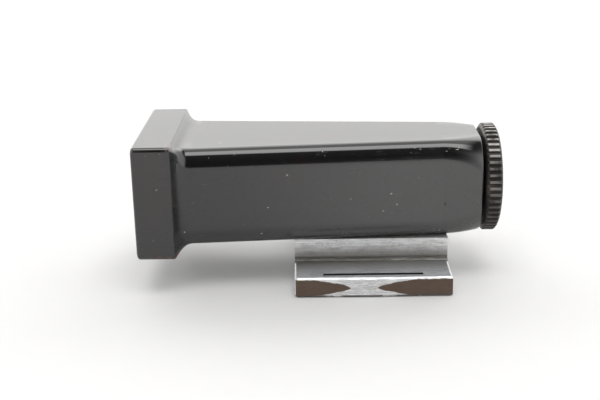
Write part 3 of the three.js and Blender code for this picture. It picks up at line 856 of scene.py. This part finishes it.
joined(window, skin("grinding_tool", hollow_loops, closed=False), "DIFFERENCE")
smooth_finish(window, sharp=20.0)

lens_glass, recipe, shader, place = new_finish("lens_glass")
haze = recipe.noise(place, 0.5, 4.0).fade(0.5, 0.8)
dust = specks(recipe, place, 1.6, 0.05, 0.9)
feed(
    shader,
    Base_Color=recipe.blend(haze * 0.3, (0.97, 0.985, 1.0), (0.86, 0.9, 0.93)),
    Roughness=0.004 + haze * 0.01 + dust * 0.3,
    IOR=1.52,
    Transmission_Weight=1.0,
    Coat_Weight=0.25,
    Coat_IOR=1.38,
    Coat_Tint=(0.72, 0.8, 1.0, 1),
    Coat_Roughness=0.01,
    Normal=relief(recipe, dust, 0.2, 0.00001),
)


def let_lamps_through(material, shader):
    """Light reaches what lies behind the glass, as it does through the real one."""
    tree = material.node_tree
    recipe = Recipe(tree)
    path = recipe.put("ShaderNodeLightPath", output="Is Shadow Ray")
    diffuse = Value(recipe, path.socket.node.outputs["Is Diffuse Ray"])
    clear = recipe.put("ShaderNodeBsdfTransparent")
    joint = recipe.put("ShaderNodeMixShader", {0: path.at_least(diffuse)}).socket.node
    tree.links.new(shader.outputs[0], joint.inputs[1])
    tree.links.new(clear.socket, joint.inputs[2])
    output = next(node for node in tree.nodes if node.type == "OUTPUT_MATERIAL")
    tree.links.new(joint.outputs[0], output.inputs["Surface"])


let_lamps_through(lens_glass, shader)
window.data.materials.append(lens_glass)
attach(window, "housing")
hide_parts("front_lens")

# Black fibre, for the gasket behind the window.
fibre_board, recipe, shader, place = new_finish("black_fibre")
strands = recipe.noise(recipe.stretched(place, (9.0, 2.0, 9.0), (0.4, 0.0, 0.0)), 1.0, 4.0)
feed(
    shader,
    Base_Color=recipe.blend(strands, (0.012, 0.011, 0.01), (0.04, 0.037, 0.033)),
    Roughness=0.8 + strands * 0.15,
    Normal=relief(recipe, strands, 0.5, 0.00002),
)


def painted(node, material):
    """Gives a CAD node that stays in view its finish."""
    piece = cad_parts[node]
    piece.data.materials.clear()
    piece.data.materials.append(material)
    return piece


painted("lens_gasket", fibre_board)

# ------------------------------------------------------------------ inside the hollow
# Two sheet brass light baffles and the bright-frame glass in its holder wedge in the tapering
# hollow, all painted dull black but for the glass, which carries the frame lines for the eye.

for node in ("front_baffle", "rear_baffle", "frame_glass_holder"):
    painted(node, dull_black)

frame_glass, recipe, shader, place = new_finish("bright_frame_glass")
px, py, pz = recipe.parts(place)
off_side = abs(py)
off_height = abs(pz - axis_z)
frame_line = abs(off_side - 3.3).fade(0.09, 0.05) * (off_height < 2.25)
frame_line = frame_line.at_least(abs(off_height - 2.2).fade(0.09, 0.05) * (off_side < 3.35))
corner_only = (off_side > 2.0) * (off_height > 1.2)
frame_line = frame_line * corner_only
feed(
    shader,
    Base_Color=recipe.blend(frame_line, (0.95, 0.97, 0.98), (0.85, 0.85, 0.8)),
    Roughness=0.01 + frame_line * 0.3,
    Metallic=frame_line,
    IOR=1.52,
    Transmission_Weight=1.0,
)
let_lamps_through(frame_glass, shader)
painted("frame_glass", frame_glass)

# ------------------------------------------------------------------ the foot and its screws
# The foot and neck are milled from one bar of nickel silver. A saw cut inside each long edge leaves
# a thin sprung rail, bowed out a little to grip the shoe. Two countersunk screws run up through the
# neck and the housing's floor into a threaded brass strip.

foot_half_x = 7.6
foot_half_y = 9.15
foot_thickness = 2.0
foot_chamfer = 0.18
lead_in = 0.4
rail_bow = 0.06
saw_length = 9.6
saw_width = 0.4
rail_thickness = 0.75
neck_half = 4.6
neck_top = 4.3
neck_bottom = 1.2  # the neck's solid reaches down into the foot
neck_fillet = 0.35
LEAD_STEPS = 12
BOW_STEPS = 24


def arc(centre, radius, start, end, steps):
    """Points on an arc round a centre, from start to end in degrees."""
    angles = [math.radians(mix(start, end, i / steps)) for i in range(steps + 1)]
    return [(centre[0] + radius * math.cos(a), centre[1] + radius * math.sin(a)) for a in angles]


def foot_outline(inset):
    """Points round the foot from above, inset all round by a chamfer."""
    points = []
    for sx, sy in ((-1, -1), (1, -1), (1, 1), (-1, 1)):
        corner = [(foot_half_x - inset, sy * (foot_half_y - inset))]
        if sx < 0:
            centre = (foot_half_x - lead_in, foot_half_y - lead_in)
            rounded = arc(centre, lead_in - inset, 0, 90, LEAD_STEPS)
            corner = [(-x, sy * y) for x, y in rounded]
            if sy > 0:
                corner.reverse()
        points += corner
        if (sx, sy) in ((-1, -1), (1, 1)):
            for i in range(BOW_STEPS + 1):
                share = i / BOW_STEPS * 2 - 1
                bow = rail_bow * (1 - share * share)
                x = share * saw_length / 2 * (1 if sy < 0 else -1)
                points.append((x, sy * (foot_half_y + bow - inset)))
    return points


foot_layers = (
    (0.0, foot_chamfer),
    (foot_chamfer, 0.0),
    (foot_thickness - foot_chamfer, 0.0),
    (foot_thickness, foot_chamfer),
)
foot = prism("foot", [[(x, y, z) for x, y in foot_outline(inset)] for z, inset in foot_layers])
root_y = neck_half + neck_fillet
root_z = foot_thickness + neck_fillet
profile = arc((-root_y, root_z), neck_fillet, -90, 0, 8)
profile += [(-neck_half, neck_top), (neck_half, neck_top)]
profile += arc((root_y, root_z), neck_fillet, 180, 270, 8)
profile += [(root_y, neck_bottom), (-root_y, neck_bottom)]
neck = prism("neck", [[(x, y, z) for y, z in profile] for x in (-foot_half_x, foot_half_x)])
joined(foot, neck, "UNION")


def box_tool(low, high):
    """A block for cutting, from its lowest and highest corners in millimetres."""
    outline = ((low[0], low[1]), (high[0], low[1]), (high[0], high[1]), (low[0], high[1]))
    return prism("blade", [[(x, y, z) for x, y in outline] for z in (low[2], high[2])])


saw_outer = foot_half_y - rail_thickness
saw_middle = saw_outer - saw_width / 2
for side in (-1, 1):
    edges = sorted((side * saw_outer, side * (saw_outer - saw_width)))
    blade = box_tool((-saw_length / 2, edges[0], -1.0), (saw_length / 2, edges[1], foot_thickness + 1.0))
    joined(foot, blade, "DIFFERENCE")
foot_screw_seat = 1.4
for x in foot_screw_places:
    drill_up(foot, x, -0.5, foot_screw_seat, 0.63, sides=48)
    drill_up(foot, x, 0.12, foot_screw_seat, 0.76, end_radius=foot_screw_hole, sides=48)
    drill_up(foot, x, 0.5, foot_screw_hole, 5.0, sides=48)
smooth_finish(foot, sharp=34.0, bevel=0.035, bevel_material=1)


def foot_finish(name, rubbed_bare):
    """Milled nickel silver with brown tarnish; rubbed_bare is the share of bright metal showing."""
    material, recipe, shader, place = new_finish(name)
    px, py, pz = recipe.parts(place)
    side = abs(py)
    fine = recipe.noise(recipe.stretched(place, (0.5, 14.0, 14.0)), 1.0, 4.0)
    coarse = recipe.noise(recipe.stretched(place, (0.9, 3.2, 3.2)), 1.0, 4.0)
    pits = recipe.noise(place, 6.0, 5.0).fade(0.6, 0.7)
    cloud = recipe.noise(place, 0.8, 5.0)
    bright = recipe.blend(fine, (0.66, 0.665, 0.67), (0.93, 0.935, 0.94))
    bright = recipe.blend(coarse.fade(0.5, 0.7) * 0.5, bright, (0.5, 0.495, 0.485))
    bright = recipe.blend(pits * 0.55, bright, (0.3, 0.29, 0.275))
    on_ledge = (pz > 1.9) * (pz < 2.04) * (side > 4.9)
    # The ledge's colour is painted light: dark near the neck, painted shade under the overhanging
    # housing, and pale bluish towards the outer edge, a painted reflection of the bright room above.
    outward = side.fade(4.6, 9.3)
    ledge_painted_light = recipe.blend(outward, (0.25, 0.25, 0.245), (0.7, 0.715, 0.74))
    ledge_painted_light = recipe.blend(coarse.fade(0.4, 0.62) * 0.35, ledge_painted_light, (0.3, 0.3, 0.31))
    base = recipe.blend(on_ledge, bright, ledge_painted_light)
    on_neck = (side > 4.4) * (side < 5.2) * (pz > 2.0)
    # Painted shade: the neck darkens towards its root and is darkest in a strip along the fillet, in the
    # crease under the housing.
    low_down = (pz + (cloud - 0.5) * 0.7 + (fine - 0.5) * 0.5).fade(4.0, 2.5)
    root_painted_shade = on_neck * low_down
    base = recipe.blend(root_painted_shade * 0.85, base, (0.2, 0.19, 0.17))
    base = recipe.blend(on_neck * pz.fade(2.6, 2.3) * 0.85, base, (0.075, 0.07, 0.06))
    # Painted shade: the walls of the saw cuts are made near black and less metallic, as shade inside the
    # narrow slot.
    saw_cut_shade = abs(side - saw_middle).fade(0.27, 0.22) * (abs(px) < saw_length / 2 + 0.03)
    base = recipe.blend(saw_cut_shade, base, (0.02, 0.02, 0.02))
    brushed = recipe.noise(recipe.stretched(place, (0.7, 1.0, 9.0)), 1.0, 3.0).fade(0.45, 0.6)
    base = recipe.blend(brushed * on_neck * 0.3, base, (0.3, 0.3, 0.3))
    reach = ((abs(px + 0.9) - 1.3) / 3.6).at_least(0.0).at_most(1.0) ** 0.6
    rough_edge = (recipe.noise(recipe.stretched(place, (1.0, 2.0, 2.0)), 1.2, 3.0) - 0.5) * 0.3
    band = (reach * 0.86 + rough_edge * reach.fade(0.0, 0.3)) - abs(pz - 0.98)
    on_side = (side > 9.0) * band.fade(-0.02, 0.05)
    on_front = (abs(px) > 7.6) * recipe.noise(place, 0.7, 3.0).fade(0.5, 0.7)
    tarnish = (on_side.at_least(on_front * 0.55) * (1.0 - rubbed_bare)).at_most(1.0)
    brown = recipe.blend(coarse, (0.075, 0.05, 0.037), (0.125, 0.088, 0.066))
    base = recipe.blend(tarnish, base, brown)
    streaks = recipe.noise(recipe.stretched(place, (0.6, 5.0, 5.0)), 1.5, 3.0).fade(0.42, 0.6)
    base = recipe.blend(streaks * (side > 9.0) * (1.0 - tarnish) * 0.4, base, (0.32, 0.32, 0.33))
    # Painted shade: the bottom chamfer and underside are darkened in patches along the edge where the
    # foot meets the floor.
    under = (pz < 0.24) * cloud.fade(0.62, 0.5)
    base = recipe.blend(under * 0.8, base, (0.09, 0.08, 0.07))
    rough = 0.4 + coarse * 0.12 + pits * 0.2 + tarnish * 0.12 - rubbed_bare * 0.16
    height = fine * 0.6 + coarse * 0.3 - pits * 0.6 - tarnish * 0.2
    feed(
        shader,
        Base_Color=base,
        Roughness=rough,
        Metallic=0.85 - tarnish * 0.4 - root_painted_shade * 0.2 - saw_cut_shade * 0.6,
        Normal=relief(recipe, height, 0.4, 0.00002),
    )
    return material


foot.data.materials.append(foot_finish("milled_foot", 0.0))
foot.data.materials.append(foot_finish("rubbed_foot_edges", 0.75))
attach(foot, "housing")
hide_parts("foot_block")

foot_screws = screw_set(
    "foot_screws",
    [(x, 0, 0.08) for x in foot_screw_places],
    (0.0, 0.0, 0.0),
    head_radius=1.34,
    rim=0.1,
    cone=0.65,
    shank_radius=0.7,
    length=5.95,
    slot_width=0.3,
    slot_depth=0.3,
)
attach(foot_screws, "housing")
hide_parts("foot_screw_front", "foot_screw_rear")

# Turned brass, dulled by handling, for the nut strip and the stop collar.
brass, recipe, shader, place = new_finish("turned_brass")
turning = recipe.noise(recipe.stretched(place, (14.0, 0.7, 0.7)), 1.0, 3.0)
dulled = recipe.noise(place, 0.8, 4.0).fade(0.4, 0.65)
base = recipe.blend(turning, (0.46, 0.33, 0.14), (0.66, 0.5, 0.25))
feed(
    shader,
    Base_Color=recipe.blend(dulled * 0.75, base, (0.2, 0.135, 0.06)),
    Roughness=0.28 + dulled * 0.22 + turning * 0.08,
    Metallic=1.0,
    Normal=relief(recipe, turning, 0.4, 0.00001),
)
painted("nut_plate", brass)

# ------------------------------------------------------------------ the eyepiece bush
# The bush is a turned brass sleeve with a thin flange let into the housing's rear face. It carries
# the eyepiece's thread, and a small set screw under the tail pins it.


def turned(name, profile, sides=128, ease=0.04):
    """A turned piece from a closed profile of (x, radius), its corners eased."""
    eased = []
    for i, here in enumerate(profile):
        before = profile[i - 1]
        after = profile[(i + 1) % len(profile)]
        for other in (before, after):
            length = math.dist(here, other)
            share = min(ease, length * 0.3) / length
            eased.append((mix(here[0], other[0], share), mix(here[1], other[1], share)))
    return skin(name, [round_loop(x, radius, sides) for x, radius in eased])


tube_radius = 3.3
bush_bore_radius = 3.35
bush_radius = 3.85
flange_x = 10.52
flange_radius = 4.1
bush = turned(
    "eyepiece_bush",
    [
        (hollow_end_x, bush_bore_radius),
        (rear_x, bush_bore_radius),
        (rear_x, flange_radius),
        (flange_x, flange_radius),
        (flange_x, bush_radius),
        (hollow_end_x, bush_radius),
    ],
)
seat_floor = axis_z - 3.6
drill_up(bush, set_screw_x, seat_floor - 1.0, set_screw_hole, 1.0)
smooth_finish(bush, blackened)
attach(bush, "housing")
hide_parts("eyepiece_bushing")


def set_screw(name, x, low, length):
    """A headless slotted screw that stands on the middle plane, its slot below."""
    return screw_set(
        name,
        [(x, 0, low)],
        (0.0, 0.0, 0.0),
        head_radius=0.4,
        rim=0.1,
        cone=0.1,
        shank_radius=0.4,
        length=length,
        slot_width=0.14,
        slot_depth=0.2,
        bevel=0.02,
    )


bush_screw_low = 4.45
bush_screw = set_screw("bush_set_screw", set_screw_x, bush_screw_low, seat_floor - 0.03 - bush_screw_low)
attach(bush_screw, "housing")
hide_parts("bushing_set_screw")

# ------------------------------------------------------------------ the eyepiece tube and eye lens
# The brass tube screws in and out of the bush. A stop ring pressed on its inner end keeps it from
# coming out, and the eye lens sits in a pocket at its outer end under a slotted black retainer.

stop_ring_x = 6.045
stop_ring_width = 0.5
eye_lens_x = 11.24
eye_lens_radius = 2.97
eye_lens_edge = 0.6
retainer_x = 11.87
retainer_thickness = 0.4
clear_radius = 2.42
tube_end_x = 12.3
tube_bore = 2.8
lens_pocket = 3.02
spigot_radius = 3.075
fit_gap = 0.03
shoulder_x = stop_ring_x + stop_ring_width + fit_gap
tube = turned(
    "eye_tube",
    [
        (stop_ring_x - fit_gap, tube_bore),
        (eye_lens_x - fit_gap, tube_bore),
        (eye_lens_x - fit_gap, lens_pocket),
        (tube_end_x, lens_pocket),
        (tube_end_x, tube_radius),
        (shoulder_x, tube_radius),
        (shoulder_x, spigot_radius),
        (stop_ring_x - fit_gap, spigot_radius),
    ],
)
smooth_finish(tube, blackened)
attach(tube, "eyepiece")
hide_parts("eyepiece_tube")

stop_ring_bore = 3.125
stop_ring_radius = 3.525
stop_ring = turned(
    "stop_collar",
    [
        (stop_ring_x, stop_ring_bore),
        (stop_ring_x + stop_ring_width, stop_ring_bore),
        (stop_ring_x + stop_ring_width, stop_ring_radius),
        (stop_ring_x, stop_ring_radius),
    ],
)
smooth_finish(stop_ring, brass)
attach(stop_ring, "eyepiece")
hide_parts("tube_stop_ring")

LENS_STEPS = 16
front_bulge = 0.45
rear_bulge = 0.2
lens_profile = []
for i in range(LENS_STEPS + 1):
    share = i / LENS_STEPS
    lens_profile.append((eye_lens_x - front_bulge * (1 - share * share), share * clear_radius))
lens_profile += [(eye_lens_x, eye_lens_radius), (eye_lens_x + eye_lens_edge, eye_lens_radius)]
for i in range(LENS_STEPS, -1, -1):
    share = i / LENS_STEPS
    x = eye_lens_x + eye_lens_edge + rear_bulge * (1 - share * share)
    lens_profile.append((x, share * clear_radius))
eye_lens = skin("eye_lens_glass", [round_loop(x, r, 96) for x, r in lens_profile], closed=False)
smooth_finish(eye_lens, lens_glass, sharp=24.0)
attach(eye_lens, "eye_lens_slide")
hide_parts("eye_lens")

retainer = turned(
    "lens_retainer",
    [
        (retainer_x, clear_radius),
        (retainer_x + retainer_thickness, clear_radius + 0.1),
        (retainer_x + retainer_thickness, eye_lens_radius),
        (retainer_x, eye_lens_radius),
    ],
)
key_slot = box_tool(
    (retainer_x + retainer_thickness / 2, -4.0, axis_z - 0.2), (retainer_x + 1.0, 4.0, axis_z + 0.2)
)
joined(retainer, key_slot, "DIFFERENCE")
smooth_finish(retainer, blackened)
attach(retainer, "eyepiece")
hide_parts("eye_lens_retainer")

# ------------------------------------------------------------------ the focusing ring
# The ring is turned brass, blackened, with straight knurling rolled round its rim between two
# bevels. It is slipped over the tube and held by one set screw, and its rear face is dished.

ring_x = 11.15
ring_rear_x = 12.75
ring_radius = 5.43
knurl_depth = 0.2
ridge_count = 52
bevel_width = 0.3
bevel_depth = 0.45

knurl_sizes = ("Ridges", "Rim Radius", "Depth", "Axis Height")
ring_tree, recipe, given = new_shape_tree("straight_knurl", knurl_sizes)
x, y, z = recipe.parts(recipe.put("GeometryNodeInputPosition"))
z = z - given["Axis Height"]
radius = (y * y + z * z).root()
angle = z.angle_from(y)
turn_share = (angle / (2 * math.pi) + 1.0) * given["Ridges"]
off_ridge = abs(turn_share.fraction() - 0.5) * 2.0
groove = off_ridge.fade(0.3, 0.86)
cut_radius = given["Rim Radius"] - given["Depth"] * groove
new_radius = radius.at_most(cut_radius)
ridge = ((new_radius - given["Rim Radius"]) / given["Depth"] + 1.0).at_least(0.0).at_most(1.0)
place = recipe.put(
    "ShaderNodeCombineXYZ",
    {"X": x, "Y": y * new_radius / radius, "Z": z * new_radius / radius + given["Axis Height"]},
)
marked = recipe.put(
    "GeometryNodeStoreNamedAttribute",
    {"Geometry": given["Geometry"], "Name": "ridge", "Value": ridge},
    data_type="FLOAT",
    domain="POINT",
)
knurled = recipe.put("GeometryNodeSetPosition", {"Geometry": marked, "Position": place})
end_shape_tree(recipe, knurled, given["Finish"])

BEVEL_STEPS = 14
RIM_STEPS = 8
bevel_swell = 0.035


def bevel_point(edge_x, inward, share):
    """A point on a rounded bevel of the ring: share goes from 0 on the end face to 1 on the rim."""
    swell = bevel_swell * math.sin(math.pi * share)
    x = edge_x + inward * (bevel_width * share - swell * 0.6)
    return x, ring_radius - bevel_depth * (1 - share) + swell * 0.5


ring_bore = 3.35
ring_profile = [(ring_x, ring_bore), (ring_x, 4.2), (ring_x, ring_radius - bevel_depth - 0.03)]
ring_profile += [bevel_point(ring_x, 1, i / BEVEL_STEPS) for i in range(BEVEL_STEPS + 1)]
for i in range(1, RIM_STEPS):
    x = mix(ring_x + bevel_width, ring_rear_x - bevel_width, i / RIM_STEPS)
    ring_profile.append((x, ring_radius))
ring_profile += [bevel_point(ring_rear_x, -1, 1 - i / BEVEL_STEPS) for i in range(BEVEL_STEPS + 1)]
ring_profile = [(max(ring_x, min(ring_rear_x, x)), min(ring_radius, r)) for x, r in ring_profile]
for depth, r in (
    (0.0, 4.55),
    (0.03, 4.5),
    (0.19, 4.31),
    (0.22, 4.24),
    (0.22, 2.62),
    (0.25, 2.57),
    (0.35, 2.44),
    (0.39, 2.42),
    (0.42, 2.46),
    (0.42, ring_bore),
):
    ring_profile.append((ring_rear_x - depth, r))
RING_SIDES = ridge_count * 12
ring = skin("focusing_ring", [round_loop(x, r, RING_SIDES) for x, r in ring_profile])

ring_black, recipe, shader, place = new_finish("worn_ring_black")
px, py, pz = recipe.parts(place)
ridge_tip = recipe.put("ShaderNodeAttribute", output="Fac", attribute_name="ridge")
fine = recipe.noise(recipe.stretched(place, (3.0, 9.0, 9.0)), 1.0, 4.0)
patch = recipe.noise(place, 0.9, 5.0)
# Bare metal on the knurl tips is wear, but it is made about ten times stronger on top of the ring than
# underneath: a painted highlight where the tips face the light.
facing_light = pz.fade(6.0, 13.5)
tip_wear_and_highlight = ridge_tip.fade(0.82, 0.98) * (0.04 + facing_light * 0.42) * patch.fade(0.3, 0.55)
bevel_rub = patch.fade(0.55, 0.68) * 0.3
base = recipe.blend(fine, (0.016, 0.0135, 0.0125), (0.034, 0.029, 0.027))
base = recipe.blend(bevel_rub, base, (0.12, 0.095, 0.075))
base = recipe.blend(tip_wear_and_highlight, base, (0.52, 0.5, 0.47))
feed(
    shader,
    Base_Color=base,
    Roughness=0.34 + fine * 0.16 - tip_wear_and_highlight * 0.06,
    Metallic=0.45 + tip_wear_and_highlight * 0.5,
    Normal=relief(recipe, fine, 0.3, 0.00001),
)
grow_shape(
    ring,
    ring_tree,
    ridges=float(ridge_count),
    rim_radius=ring_radius * MM,
    depth=knurl_depth * MM,
    axis_height=axis_z * MM,
    finish=ring_black,
)
ring_screw_x = 11.758
drill_up(ring, ring_screw_x, axis_z - 6.5, set_screw_hole, 3.15)
smooth_finish(ring, sharp=40.0)
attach(ring, "eyepiece")
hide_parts("focus_ring")

ring_screw = set_screw("ring_pin_screw", ring_screw_x, axis_z - 5.1, 1.87)
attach(ring_screw, "eyepiece")
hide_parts("ring_set_screw")
